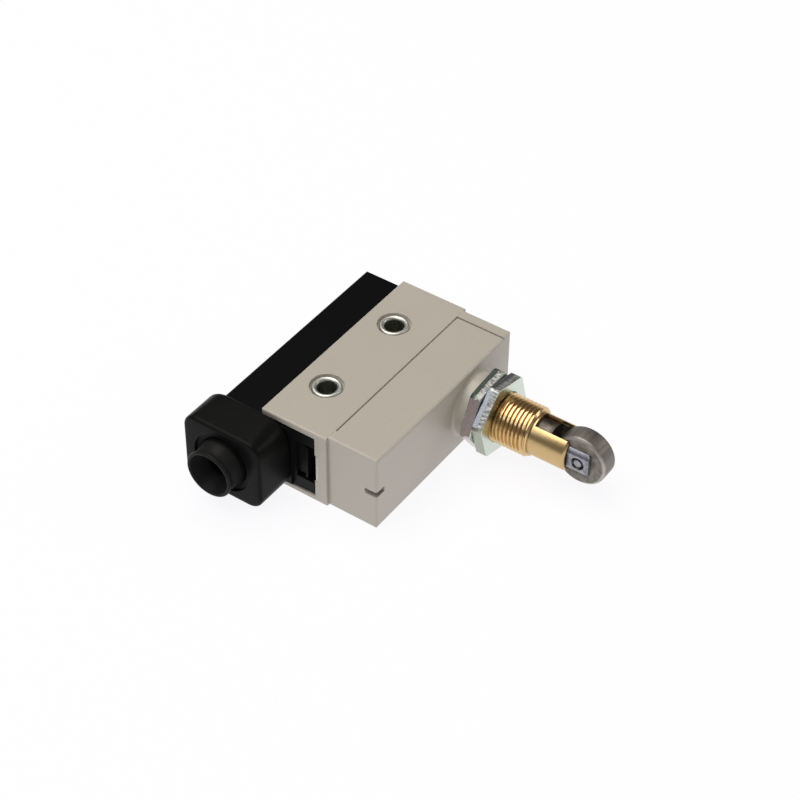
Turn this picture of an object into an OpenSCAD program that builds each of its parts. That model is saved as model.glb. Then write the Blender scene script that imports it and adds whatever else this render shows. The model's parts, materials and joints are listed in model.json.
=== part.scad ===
// Enclosed limit switch with a panel-mount cross-roller plunger.
// It lies on its broad side: +X is the way the plunger points, +Y runs along the case away from the
// cable gland, +Z is up. The origin is midway between the two mounting holes, on the lower broad face.

/* [Case] */
// Length of the case along Y
case_len = 53.4; // [50:0.1:60]
// Thickness between the two broad faces
case_thick = 20; // [19:0.1:24]
// From the mounting holes back to the rear rim
hole_to_rear = 7.3; // [6.5:0.1:10]
// From the mounting holes forward to the joint with the head
hole_to_joint = 10; // [9:0.1:13]
// Wall of the broad faces
case_wall = 1.5; // [1.1:0.1:1.9]
// Wall of the closed end
end_wall = 2; // [1.5:0.1:2.5]
// Rounding of the outer edges of case, head and cover
edge_r = 0.6; // [0.2:0.1:0.9]
// Distance from the mounting holes to the front edge of the latch window
window_reach = 6.9; // [5:0.1:7.5]

/* [Mounting holes] */
// Distance between the two holes
hole_pitch = 25.4; // [24:0.1:27]
// Clear bore of each hole
hole_dia = 4.4; // [4:0.1:5]
// Wall of the steel eyelet that lines each hole
eyelet_wall = 0.4; // [0.3:0.05:0.5]
// Thickness of the rolled rim of the eyelet
eyelet_rim = 0.8; // [0.6:0.05:1]
// Width of that rim, from the bore outwards
eyelet_rim_w = 1.3; // [1.1:0.05:1.4]
// Diameter of the sunk round that the rim lies in
sink_dia = 7.8; // [7.4:0.1:9]

/* [Head] */
// Depth of the head along X
head_depth = 12.7; // [11.5:0.1:15]
// How far each end of the head stands back from the case
head_step = 0.8; // [0.3:0.1:1.2]
// Depth of the sunk panel on the upper face
panel_sink = 0.3; // [0.1:0.05:0.6]
// Width of the raised strip at each end of that panel
panel_strip = 2.75; // [2:0.05:4]
// Front wall that the bushing is clamped to
front_wall = 2.1; // [1.6:0.1:2.6]
// Diameter of the round boss under the nuts
boss_dia = 15.6; // [14.5:0.1:17]
// Height of that boss
boss_len = 3.1; // [2:0.1:4]
// Length of the pry notch along each face at the near front corner
notch_leg = 3.1; // [2:0.1:3.4]
// Height of the pry notch
notch_h = 1.4; // [0.8:0.1:2]

/* [Bushing] */
// Place of the plunger axis along Y
axis_y = 10.65; // [8:0.05:12]
// Outside diameter of the thread
thread_dia = 12; // [11.4:0.1:12.6]
// Length of thread in front of the boss
thread_len = 14.4; // [12:0.1:18]
// Diameter of the smooth sleeve
sleeve_dia = 10; // [9.6:0.1:10.4]
// Length of the smooth sleeve
sleeve_len = 9.3; // [8.4:0.1:12]
// Chamfer on the ends of thread and sleeve
bush_chamfer = 0.5; // [0.2:0.1:0.6]
// Diameter of the flange inside the head
flange_dia = 14.2; // [13.4:0.1:14.6]
// Thickness of that flange
flange_thick = 1.6; // [1.2:0.1:2]
// Length of the guide hole at the inner end
guide_len = 1.2; // [0.8:0.1:2]

/* [Nuts] */
// Distance across the flats of each nut
nut_flats = 17; // [16:0.1:18]
// Thickness of each nut
nut_thick = 2.7; // [2:0.1:3]
// Turn of the inner nut about the thread
inner_turn = 36; // [0:1:60]
// Turn of the outer nut about the thread
outer_turn = 16; // [0:1:60]

/* [Plunger] */
// Diameter of the plunger
plunger_dia = 8; // [7.6:0.1:8.2]
// Diameter of the plunger's tail
tail_dia = 4.4; // [4:0.1:4.8]
// Full inward travel of the plunger
travel = 5; // [3:0.1:5.5]
// Distance from the sleeve's end to the roller's centre
roller_reach = 2.75; // [2:0.05:4]
// Distance from the roller's centre to the end of the fork
cheek_reach = 2.75; // [2.2:0.05:3.5]
// Distance between the outer flats of the fork
cheek_span = 6.8; // [6.4:0.1:7.2]

/* [Roller] */
// Diameter of the roller
roller_dia = 12.7; // [11.5:0.1:13.5]
// Width of the roller
roller_w = 4.8; // [4:0.1:4.9]
// Chamfer on the roller's rims
roller_chamfer = 0.5; // [0.2:0.05:0.8]
// Diameter of the roller's pin
pin_dia = 2.4; // [2:0.1:2.6]
// Diameter of the countersink around each staked pin end
stake_dia = 3.3; // [2.8:0.1:3.4]
// Diameter of the nub left standing in the middle of the staked end
nub_dia = 1.9; // [1.2:0.1:1.9]

/* [Springs] */
// Wire of the return spring
return_wire = 0.6; // [0.5:0.05:0.7]
// Turns of the return spring
return_turns = 8; // [6:1:9]
// Wire of the overtravel spring
over_wire = 0.36; // [0.3:0.02:0.4]
// Turns of the overtravel spring
over_turns = 9; // [6:1:10]

/* [Terminal cover] */
// How far the cover stands out behind the case
cover_depth = 10.3; // [9.5:0.1:14]
// How far each broad side of the cover stands back from the case
cover_step = 2; // [1.8:0.1:2.6]
// Wall of the cover
cover_wall = 1.5; // [1.2:0.1:1.8]
// How far the cover's gland end stands out past the case's end
gland_end = 0.5; // [0.2:0.1:1]
// How far the latch plate lies behind the case's end face
latch_sink = 0.3; // [0.1:0.1:1.2]
// How much deeper its springy tongue lies
tongue_sink = 0.8; // [0.4:0.1:1.2]

/* [Cable gland] */
// Distance from the mounting holes back to the gland's axis
gland_back = 10.35; // [9.9:0.05:11.5]
// Length of the collar along Y
collar_len = 9.8; // [8:0.1:12]
// Width of the collar at its outer end
collar_tip_w = 20.8; // [18:0.1:21]
// Width of the collar next to the cover
collar_root_w = 22.4; // [21:0.1:24]
// How far the collar stays behind the case's broad faces
gland_lift = 0.3; // [0.1:0.1:0.8]
// How much further each broad side stays behind at the collar's outer end
collar_taper = 0.5; // [0.2:0.1:1.5]
// Length of the nipple beyond the collar
nipple_len = 4.8; // [3:0.1:7]
// Diameter of the nipple at its root
nipple_root_dia = 12.2; // [11.6:0.1:13]
// Diameter of the nipple at its rim
nipple_tip_dia = 11.8; // [11:0.1:12]
// Diameter of the cable passage
cable_dia = 6.4; // [5:0.1:7]

/* [Switch unit] */
// How far the switch unit's button is pressed at full travel
press = 0.6; // [0.4:0.05:0.8]
// Diameter of the button
button_dia = 3.2; // [2.6:0.1:3.6]
// Thickness of the contact blade
blade_thick = 0.3; // [0.2:0.05:0.4]
// Thickness of the terminal strips
strip_thick = 0.6; // [0.5:0.05:0.8]
// Height of each contact rivet
rivet_h = 0.6; // [0.4:0.05:0.8]
// Width of the terminal tabs along Y
tab_w = 6; // [5:0.1:6.4]

/* [Hidden] */
$fn = 72;

// Clearances
snug = 0.02;
slip = 0.05;
seat = 0.1;
clear = 0.2;
over = 1;

// Case and head
case_y = case_len / 2;
mid_z = case_thick / 2;
rear_x = -hole_to_rear;
joint_x = hole_to_joint;
front_x = joint_x + head_depth;
bay_y = case_y - end_wall;
bay_z = mid_z - case_wall;
head_y = case_y - head_step;
spigot_len = 2;
spigot_wall = 1.2;
spigot_y = bay_y - seat;
spigot_z = bay_z - seat;
room_y = spigot_y - spigot_wall;
room_z = spigot_z - spigot_wall;
room_front_x = front_x - front_wall;
boss_x = front_x + boss_len;
boss_r = boss_dia / 2;
boss_fillet = 0.8;
packing_w = 0.6;
packing_t = 0.8;
nail_half = 3.7;
nail_w = 0.9;
nail_depth = 0.35;
panel_groove = 0.2;

// Mounting holes
hole_r = hole_dia / 2;
eyelet_r = hole_r + eyelet_wall;
rim_r = 0.45 * eyelet_rim;
rim_sink = 0.1;

// Bushing and nuts
thread_r = thread_dia / 2;
sleeve_r = sleeve_dia / 2;
thread_end_x = boss_x + thread_len;
sleeve_end_x = thread_end_x + sleeve_len;
flange_x = room_front_x - flange_thick;
bore_x = flange_x + guide_len;
plunger_r = plunger_dia / 2;
bore_r = plunger_r + slip;
tail_r = tail_dia / 2;
nut_gap = 0.1;
nut_turned = 0.25;
outer_nut_x = boss_x + nut_thick + nut_gap;

// Roller and fork
roller_r = roller_dia / 2;
pin_r = pin_dia / 2;
roller_x = sleeve_end_x + roller_reach;
fork_end_x = roller_x + cheek_reach;
fork_gap = roller_w + clear;
slot_w = fork_gap + seat;
slot_x = roller_x - roller_r - travel - clear;
fork_room = 1.4;
fork_x = roller_x - roller_r - fork_room;
flat_len = 4.6;
flat_x = roller_x - flat_len;
cheek_y = cheek_span / 2;
cheek_half = sqrt(plunger_r * plunger_r - fork_gap * fork_gap / 4);
cheek_round = 0.8;
stake_depth = 0.5;

// Return spring, seal and retaining ring
shoulder_x = bore_x + travel + (return_turns + 1) * return_wire + 2 * clear;
return_r = (tail_r + bore_r) / 2;
seal_wire = 1.2;
seal_r = bore_r - snug - seal_wire / 2;
seal_land = 2.4;
seal_x = shoulder_x + seal_land;
ring_thick = 0.8;
ring_groove = 0.45;
ring_groove_r = tail_r - ring_groove;
ring_rim = 1.6;
ring_land = 0.5;
ring_x = flange_x - seat - ring_thick;
tail_end_x = ring_x - ring_land;

// Push rod and overtravel spring
rod_r = 0.9;
rod_bore_r = 1.4;
collar_r = rod_bore_r - slip;
rod_collar_x = ring_x + ring_thick + ring_land;
rod_collar_len = 1.1;
over_r = rod_bore_r - seat - over_wire / 2;
over_x = rod_collar_x + rod_collar_len;
rod_bore_wall = 1;
rod_bore_end_x = shoulder_x - rod_bore_wall;

// Switch unit, placed from the tail at full travel
lid_x = tail_end_x - travel - 2 * clear;
lid_thick = 1.2;
base_front_x = lid_x - lid_thick;
wire_room = 2.8;
base_rear_x = rear_x + wire_room;
base_y = room_y - clear;
base_z = room_z - clear;
button_r = button_dia / 2;
button_tip_x = lid_x + press + clear;
button_rim = 0.7;
button_rim_h = 0.8;
pivot_inset = 4.5;
pivot_y = -base_y + pivot_inset;
contact_inset = 4.7;
contact_y = base_y - contact_inset;
contact_r = 1.3;
stem_r = 0.6;
contact_swing = press * (contact_y - pivot_y) / (axis_y - pivot_y);
contact_gap = 0.04;
base_wall = 1.6;
well_y = base_y - base_wall;
well_z = 5;
well_depth = 5.6;
floor_x = base_front_x - well_depth;
open_top_x = floor_x + strip_thick + rivet_h;
blade_x = open_top_x + contact_gap + contact_swing + rivet_h + blade_thick / 2;
closed_x = blade_x + blade_thick / 2 + rivet_h + contact_gap;
blade_half = 2.6;
blade_rail = 1;
blade_root = 4;
tongue_bow = 1.1;
eye_r = 0.6;
strip_half = 2.5;
tab_half = 3.5;
leg_inset = 2.1;
leg_y = base_y - leg_inset - strip_thick;
screw_y = leg_y + strip_thick - tab_w / 2;
screw_r = 1.5;
screw_depth = 4;
screw_head_r = 2.7;
screw_head_h = 1.6;
screw_slot = 0.7;

// Terminal cover
cover_x = rear_x - cover_depth;
cover_z = mid_z - cover_step;
cover_near_y = -case_y - gland_end;
near_wall = 2.2;
cover_in_y = cover_near_y + near_wall;
skirt_len = 1.9;
skirt_x = rear_x + skirt_len;
skirt_y = bay_y - packing_w - seat;
skirt_near_y = -base_y + clear + seat;
skirt_z = cover_z - seat - slip;
plug_x = window_reach - 2 * clear;
plug_step = 6.1;
plug_step_x = window_reach - plug_step;
latch_y = -case_y + latch_sink;
tongue_y = latch_y + tongue_sink;
plug_depth = 1.2;
plug_in_y = -bay_y + plug_depth;
latch_half = 4.4;
latch_slot = 0.8;
latch_reach = 2.1;
latch_x = window_reach - latch_reach;
latch_ridge_w = 0.9;
latch_ridge_h = 0.8;

// Gland
gland_x = -gland_back;
collar_y = cover_near_y;
collar_tip_y = collar_y - collar_len;
collar_root_h = case_thick - 2 * gland_lift;
collar_tip_h = collar_root_h - 2 * collar_taper;
nipple_y = collar_tip_y - nipple_len;
nipple_bead = 0.45;
nipple_neck = 0.5;
nipple_flare = 1.3;
cable_r = cable_dia / 2;
funnel_len = 4;
collar_round = 0.6;
root_corner = 5.9;
tip_corner = 3.5;
neck_r = 4.8;
hook_r = 5.5;
hook_len = 1.2;
hook_slope = 0.5;
moat_w = 1.4;
moat_depth = 1;

// Rounded rectangle between two corners
module round_rect(lo, hi, r) {
    translate([lo[0] + r, lo[1]]) square([hi[0] - lo[0] - 2 * r, hi[1] - lo[1]]);
    translate([lo[0], lo[1] + r]) square([hi[0] - lo[0], hi[1] - lo[1] - 2 * r]);
    for (x = [lo[0] + r, hi[0] - r], y = [lo[1] + r, hi[1] - r])
        translate([x, y]) circle(r);
}

// Block between two corners with every edge rounded
module soft_block(lo, hi, r) {
    size = hi - lo;
    intersection() {
        translate([0, 0, lo[2]])
            linear_extrude(size[2]) round_rect([lo[0], lo[1]], [hi[0], hi[1]], r);
        translate([lo[0], 0, 0]) rotate([90, 0, 90])
            linear_extrude(size[0]) round_rect([lo[1], lo[2]], [hi[1], hi[2]], r);
        translate([0, hi[1], 0]) rotate([90, 0, 0])
            linear_extrude(size[1]) round_rect([lo[0], lo[2]], [hi[0], hi[2]], r);
    }
}

// Plain block between two corners
module block(lo, hi) {
    translate(lo) cube(hi - lo);
}

// Block that is mirrored about the middle plane: half width in Y, half height in Z
module tunnel(x0, x1, half_y, half_z) {
    block([x0, -half_y, mid_z - half_z], [x1, half_y, mid_z + half_z]);
}

// Rod along X, on the axis that the caller sets
module rod_x(x0, x1, r0, r1 = -1) {
    translate([x0, 0, 0]) rotate([0, 90, 0]) cylinder(h = x1 - x0, r1 = r0, r2 = r1 < 0 ? r0 : r1);
}

// Round bar along Y between two places
module rod_y(y0, y1, r0, r1 = -1) {
    translate([0, y0, 0]) rotate([-90, 0, 0]) cylinder(h = y1 - y0, r1 = r0, r2 = r1 < 0 ? r0 : r1);
}

// Moves its children on to the plunger axis
module on_axis() {
    translate([0, axis_y, mid_z]) children();
}

// Moves its children to both mounting holes
module at_holes() {
    for (side = [-1, 1]) translate([0, side * hole_pitch / 2, 0]) children();
}

// Flat frame around the X axis, outer and inner half sizes in Y and Z
module frame_x(x0, x1, outer, inner) {
    difference() {
        tunnel(x0, x1, outer[0], outer[1]);
        tunnel(x0 - over, x1 + over, inner[0], inner[1]);
    }
}

// Coil spring along X between two places
module coil(x0, x1, r, wire, turns) {
    sides = 6;
    steps = turns * 16;
    reach = x1 - x0 - wire;
    rings = [for (i = [0:steps], j = [0:sides - 1])
        let (turn = 360 * turns * i / steps, lap = 360 * j / sides, far = r + wire / 2 * cos(lap))
        [x0 + wire / 2 + reach * i / steps + wire / 2 * sin(lap), far * cos(turn), far * sin(turn)]];
    walls = [for (i = [0:steps - 1], j = [0:sides - 1])
        let (k = (j + 1) % sides)
        [i * sides + j, i * sides + k, (i + 1) * sides + k, (i + 1) * sides + j]];
    first = [for (j = [0:sides - 1]) sides - 1 - j];
    last = [for (j = [0:sides - 1]) steps * sides + j];
    polyhedron(rings, concat([first], walls, [last]));
}

// Rear case: a rectangular tube, with the near end cut away for the cover's latch
module case() {
    color("#B6AEA0") difference() {
        soft_block([rear_x, -case_y, 0], [joint_x + over, case_y, case_thick], edge_r);
        tunnel(joint_x, joint_x + 2 * over, case_len, case_thick);
        tunnel(rear_x - over, joint_x + over, bay_y, bay_z);
        block([rear_x - over, -case_y - over, mid_z - bay_z], [window_reach, 0, mid_z + bay_z]);
        tunnel(joint_x - packing_t, joint_x + over, bay_y + packing_w, bay_z + packing_w);
        nail_nick();
        at_holes() {
            translate([0, 0, -over]) cylinder(h = case_thick + 2 * over, r = eyelet_r + slip);
            for (z = [-over, case_thick - rim_sink - eyelet_rim])
                translate([0, 0, z]) cylinder(h = over + rim_sink + eyelet_rim, d = sink_dia);
        }
    }
}

// Slanted nick in the window's front edge, for a blade that frees the latch
module nail_nick() {
    translate([0, 0, mid_z - nail_half]) linear_extrude(2 * nail_half)
        polygon([
            [window_reach - over, -case_y - over],
            [window_reach + nail_w, -case_y - over],
            [window_reach + nail_w, -case_y],
            [window_reach, -case_y + nail_depth],
            [window_reach - over, -case_y + nail_depth]
        ]);
}

// Front moulding: sunk panel on top, boss for the bushing, spigot into the case
module head() {
    color("#B6AEA0") difference() {
        union() {
            head_block();
            tunnel(joint_x - spigot_len, joint_x + over, spigot_y, spigot_z);
            on_axis() rotate([0, 90, 0]) rotate_extrude() boss_profile();
        }
        tunnel(joint_x - spigot_len - over, room_front_x, room_y, room_z);
        on_axis() rod_x(room_front_x - over, boss_x + over, thread_r + slip);
        pry_notch();
    }
}

// Outer form of the head, cut off square at the joint: a panel sunk between two strips, in a fine groove
module head_block() {
    panel_z = case_thick - panel_sink;
    panel_y = head_y - panel_strip;
    groove_z = panel_z - panel_groove;
    difference() {
        union() {
            soft_block([joint_x - over, -head_y, 0], [front_x, head_y, panel_z], edge_r);
            difference() {
                soft_block([joint_x - over, -head_y, 0], [front_x, head_y, case_thick], edge_r);
                block([joint_x - 2 * over, -panel_y, mid_z], [front_x + over, panel_y, case_thick + over]);
            }
        }
        tunnel(joint_x - 2 * over, joint_x, case_len, case_thick);
        block([joint_x - over, -panel_y, groove_z], [joint_x + panel_groove, panel_y, case_thick]);
        for (y = [-panel_y, panel_y - panel_groove])
            block([joint_x - over, y, groove_z], [front_x + over, y + panel_groove, case_thick]);
    }
}

// Half section of the boss: rounded rim, and a fillet where it meets the front wall
module boss_profile() {
    translate([0, front_x - edge_r]) square([boss_r, boss_len]);
    translate([0, boss_x - 2 * edge_r]) square([boss_r - edge_r, 2 * edge_r]);
    translate([boss_r - edge_r, boss_x - edge_r]) circle(edge_r);
    difference() {
        translate([boss_r - edge_r, front_x - edge_r]) square([boss_fillet + edge_r, boss_fillet + edge_r]);
        translate([boss_r + boss_fillet, front_x + boss_fillet]) circle(boss_fillet);
    }
}

// Three-cornered slot across the near front corner of the head
module pry_notch() {
    translate([0, 0, mid_z - notch_h / 2]) linear_extrude(notch_h)
        polygon([
            [front_x - notch_leg, -head_y - over],
            [front_x - notch_leg, -head_y],
            [front_x, notch_leg - head_y],
            [front_x + over, notch_leg - head_y],
            [front_x + over, -head_y - over]
        ]);
}

// Rubber ring in the mouth of the case, around the head's spigot
module head_packing() {
    color("#2A2A2A") frame_x(joint_x - packing_t, joint_x,
        [bay_y + packing_w, bay_z + packing_w], [spigot_y, spigot_z]);
}

// Black cover over the terminals, with the latch plate and the wall that holds the gland
module terminal_cover() {
    color("#141416") difference() {
        union() {
            soft_block([cover_x, cover_near_y, mid_z - cover_z], [rear_x, case_y, mid_z + cover_z], edge_r);
            block([rear_x - over, cover_near_y, mid_z - cover_z],
                [plug_step_x, cover_in_y, mid_z + cover_z]);
            latch_plate();
            block([rear_x - over, skirt_near_y, mid_z - skirt_z], [skirt_x, skirt_y, mid_z + skirt_z]);
        }
        block([cover_x + cover_wall, cover_in_y, mid_z - cover_z + cover_wall],
            [rear_x, case_y - cover_wall, mid_z + cover_z - cover_wall]);
        block([rear_x - over, skirt_near_y + spigot_wall, mid_z - skirt_z + spigot_wall],
            [skirt_x + over, skirt_y - spigot_wall, mid_z + skirt_z - spigot_wall]);
        translate([gland_x, 0, mid_z]) {
            rod_y(cover_near_y - over, plug_in_y + over, neck_r + slip);
            rod_y(cover_in_y, plug_in_y + over, hook_r + clear);
        }
    }
}

// Plate seen in the window at the near end: two arms, and between them a springy tongue with a ridge
module latch_plate() {
    gap_half = latch_half + latch_slot;
    difference() {
        block([rear_x - over, latch_y, mid_z - cover_z], [plug_x, plug_in_y, mid_z + cover_z]);
        block([plug_step_x + over, latch_y - over, mid_z - gap_half],
            [plug_x + over, plug_in_y + over, mid_z + gap_half]);
    }
    block([plug_step_x, tongue_y, mid_z - latch_half], [latch_x, plug_in_y, mid_z + latch_half]);
    translate([0, 0, mid_z - latch_half]) linear_extrude(2 * latch_half)
        polygon([
            [latch_x - latch_ridge_w, tongue_y + seat],
            [latch_x - latch_ridge_w, tongue_y - latch_ridge_h / 2],
            [latch_x - latch_ridge_w / 2, tongue_y - latch_ridge_h],
            [latch_x, tongue_y - latch_ridge_h],
            [latch_x, tongue_y + seat]
        ]);
}

// Rubber ring around the cover's skirt, inside the rear rim of the case
module cover_packing() {
    color("#2A2A2A") difference() {
        block([rear_x, skirt_near_y - packing_w, mid_z - bay_z + seat],
            [rear_x + packing_t, bay_y - seat, mid_z + bay_z - seat]);
        block([rear_x - over, skirt_near_y, mid_z - skirt_z],
            [rear_x + packing_t + over, skirt_y, mid_z + skirt_z]);
    }
}

// One thin slice of the collar, across Y
module collar_slice(y, width, height, corner) {
    translate([gland_x, y, mid_z]) rotate([90, 0, 0]) linear_extrude(0.01)
        round_rect([-width / 2, -height / 2], [width / 2, height / 2], corner, $fn = 32);
}

// Rubber boot: tapered collar, nipple in a round moat, and a neck that hooks behind the cover's wall
module cable_gland() {
    root_r = nipple_root_dia / 2;
    color("#1C1C1C") difference() {
        union() {
            hull() {
                collar_slice(collar_y, collar_root_w - 2 * collar_round, collar_root_h - 2 * collar_round,
                    root_corner - collar_round);
                collar_slice(collar_y - collar_round, collar_root_w, collar_root_h, root_corner);
                collar_slice(collar_tip_y + collar_round, collar_tip_w, collar_tip_h, tip_corner);
                collar_slice(collar_tip_y, collar_tip_w - 2 * collar_round, collar_tip_h - 2 * collar_round,
                    tip_corner - collar_round);
            }
            translate([gland_x, 0, mid_z]) {
                rod_y(collar_y - over, cover_in_y, neck_r);
                rod_y(cover_in_y, cover_in_y + hook_len, hook_r, hook_r - hook_slope);
            }
        }
        translate([gland_x, 0, mid_z]) {
            difference() {
                rod_y(collar_tip_y - over, collar_tip_y + moat_depth, root_r + moat_w);
                rod_y(collar_tip_y - 2 * over, collar_tip_y + moat_depth + over, root_r);
            }
            rod_y(collar_tip_y - over, cover_in_y + 2 * over, cable_r);
        }
    }
    color("#1C1C1C") translate([gland_x, 0, mid_z]) rotate([90, 0, 0]) rotate_extrude() nipple_profile();
}

// Half section of the nipple, seen from the gland's axis: rolled bead, funnel mouth and straight passage
module nipple_profile() {
    tip = -nipple_y;
    bead_r = nipple_tip_dia / 2 - nipple_bead;
    polygon([
        [cable_r, -collar_tip_y - seat],
        [nipple_root_dia / 2, -collar_tip_y - seat],
        [nipple_tip_dia / 2 - nipple_neck, tip - nipple_flare],
        [bead_r, tip - nipple_bead],
        [bead_r - nipple_bead, tip - nipple_bead],
        [cable_r, tip - funnel_len]
    ]);
    translate([bead_r, tip - nipple_bead]) circle(nipple_bead);
}

// Steel tubes with rolled rims that line the two mounting holes
module mounting_eyelets() {
    color("#D5D6D8") at_holes() rotate_extrude() {
        translate([hole_r, rim_sink + rim_r])
            square([eyelet_wall, case_thick - 2 * (rim_sink + rim_r)]);
        for (z = [rim_sink, case_thick - rim_sink - eyelet_rim])
            round_rect([hole_r, z], [hole_r + eyelet_rim_w, z + eyelet_rim], rim_r);
    }
}

// Turned brass bushing: flange, thread, and a smooth sleeve slotted for the roller
module bushing() {
    color("#C9A86A") on_axis() difference() {
        union() {
            rod_x(flange_x, room_front_x, flange_dia / 2);
            rod_x(room_front_x - over, thread_end_x - bush_chamfer, thread_r);
            rod_x(thread_end_x - bush_chamfer, thread_end_x, thread_r, thread_r - bush_chamfer);
            rod_x(thread_end_x - over, sleeve_end_x - bush_chamfer, sleeve_r);
            rod_x(sleeve_end_x - bush_chamfer, sleeve_end_x, sleeve_r, sleeve_r - bush_chamfer);
        }
        rod_x(flange_x - over, bore_x + over, tail_r + slip);
        rod_x(bore_x, sleeve_end_x + over, bore_r);
        block([slot_x, -slot_w / 2, -thread_r - over], [sleeve_end_x + over, slot_w / 2, thread_r + over]);
    }
}

// Thin punched hexagon nut with its corners turned down
module hex_nut(x, turn) {
    corner_r = nut_flats / 2 / cos(30);
    color("#B4BCB6") on_axis() difference() {
        intersection() {
            translate([x, 0, 0]) rotate([turn, 0, 0]) rotate([0, 90, 0])
                cylinder(h = nut_thick, r = corner_r, $fn = 6);
            rod_x(x, x + nut_thick, corner_r - nut_turned);
        }
        rod_x(x - over, x + nut_thick + over, thread_r + snug);
    }
}

// Lock nut that clamps the bushing to the head
module inner_nut() {
    hex_nut(boss_x, inner_turn);
}

// Nut that clamps the panel
module outer_nut() {
    hex_nut(outer_nut_x, outer_turn);
}

// Steel plunger: hollow tail, seal groove and the fork that carries the roller
module plunger() {
    color("#8C8D92") difference() {
        on_axis() union() {
            rod_x(tail_end_x, shoulder_x + over, tail_r);
            rod_x(shoulder_x, fork_end_x, plunger_r);
        }
        on_axis() {
            groove(seal_x, seal_x + seal_wire + clear, plunger_r, seal_r - seal_wire / 2 - slip);
            groove(ring_x - slip, ring_x + ring_thick + slip, tail_r, ring_groove_r);
            rod_x(tail_end_x - over, rod_collar_x + slip, rod_r + slip);
            rod_x(rod_collar_x, rod_bore_end_x, rod_bore_r);
            block([fork_x, -fork_gap / 2, -plunger_r - over],
                [fork_end_x + over, fork_gap / 2, plunger_r + over]);
            for (side = [-1, 1]) {
                translate([0, side * (cheek_y + over), 0])
                    block([flat_x, -over, -plunger_r - over], [fork_end_x + over, over, plunger_r + over]);
                translate([roller_x, 0, 0]) mirror([0, side < 0 ? 1 : 0, 0])
                    rod_y(cheek_y - stake_depth, cheek_y + snug, pin_r, stake_dia / 2);
                mirror([0, 0, side < 0 ? 1 : 0]) cheek_corner();
            }
            translate([roller_x, 0, 0]) rod_y(-plunger_r, plunger_r, pin_r + snug);
        }
    }
}

// What is cut away to round the upper corner of the fork's end
module cheek_corner() {
    centre = [fork_end_x - cheek_round, cheek_half - cheek_round];
    translate([0, plunger_r, 0]) rotate([90, 0, 0]) linear_extrude(2 * plunger_r) difference() {
        translate(centre) square([cheek_round + over, plunger_r]);
        translate(centre) circle(cheek_round);
    }
}

// Ring-shaped groove to be cut from a rod along X
module groove(x0, x1, outer_r, inner_r) {
    difference() {
        rod_x(x0, x1, outer_r + over);
        rod_x(x0 - over, x1 + over, inner_r);
    }
}

// Rubber ring in the plunger's groove
module plunger_seal() {
    color("#1E1E1E") on_axis() translate([seal_x + (seal_wire + clear) / 2, 0, 0]) rotate([0, 90, 0])
        rotate_extrude() translate([seal_r, 0]) circle(d = seal_wire);
}

// Steel roller with chamfered rims
module roller() {
    half = roller_w / 2;
    color("#8A8682") translate([roller_x, axis_y, mid_z]) rotate([90, 0, 0]) rotate_extrude()
        polygon([
            [pin_r + slip, -half],
            [roller_r - roller_chamfer, -half],
            [roller_r, -half + roller_chamfer],
            [roller_r, half - roller_chamfer],
            [roller_r - roller_chamfer, half],
            [pin_r + slip, half]
        ]);
}

// Pin through fork and roller, ring-staked so that a nub stands in the middle of each end
module roller_pin() {
    color("#9A9CA0") translate([roller_x, axis_y, mid_z]) {
        rod_y(-cheek_y + stake_depth, cheek_y - stake_depth, pin_r);
        rod_y(-cheek_y + slip, cheek_y - slip, nub_dia / 2);
    }
}

// Spring around the tail that pushes the plunger out
module return_spring() {
    color("#A8AAAE") on_axis() coil(bore_x, shoulder_x, return_r, return_wire, return_turns);
}

// Open clip in the tail's groove, which stops the plunger
module retaining_ring() {
    color("#77797D") on_axis() translate([ring_x, 0, 0]) rotate([90, 0, 90]) linear_extrude(ring_thick)
        difference() {
            circle(tail_r + ring_rim);
            circle(ring_groove_r + slip);
            translate([-ring_groove_r + ring_groove, -tail_r - 2 * ring_rim])
                square([2 * (ring_groove_r - ring_groove), tail_r + 2 * ring_rim]);
        }
}

// Inner rod that hands the plunger's motion on to the switch unit
module push_rod() {
    color("#B0B2B6") on_axis() {
        rod_x(button_tip_x, over_x, rod_r);
        rod_x(rod_collar_x + slip, over_x, collar_r);
    }
}

// Spring in the hollow tail, which takes up the travel beyond the button's stroke
module overtravel_spring() {
    color("#A8AAAE") on_axis() coil(over_x, rod_bore_end_x, over_r, over_wire, over_turns);
}

// Moulded base of the switch unit, with a well for the contacts
module switch_base() {
    color("#3A2A20") difference() {
        tunnel(base_rear_x, base_front_x, base_y, base_z);
        block([floor_x, -well_y, mid_z - well_z], [base_front_x + over, well_y, mid_z + well_z]);
        at_holes() cylinder(h = case_thick, r = eyelet_r + seat);
        for (y = [-leg_y, leg_y + strip_thick, screw_leg_y()])
            block([base_rear_x - over, y - strip_thick - slip, mid_z - strip_half - slip],
                [floor_x + over, y + slip, mid_z + strip_half + slip]);
        for (y = [-screw_y, 0, screw_y])
            translate([0, y, mid_z])
                rod_x(base_rear_x - over, base_rear_x + screw_depth + clear, screw_r + slip);
    }
}

// Outer side of the middle terminal's leg
function screw_leg_y() = tab_w / 2 + strip_thick;

// Plate that closes the well and guides the button
module switch_lid() {
    color("#4A3528") difference() {
        tunnel(base_front_x, lid_x, base_y, base_z);
        on_axis() rod_x(base_front_x - over, lid_x + over, button_r + slip);
    }
}

// Button of the switch unit, with a flange under the lid
module switch_button() {
    color("#C23B2E") on_axis() {
        rod_x(blade_x + blade_thick / 2 + seat, button_tip_x, button_r);
        rod_x(base_front_x - button_rim_h - press, base_front_x - press, button_r + button_rim);
    }
}

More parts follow.
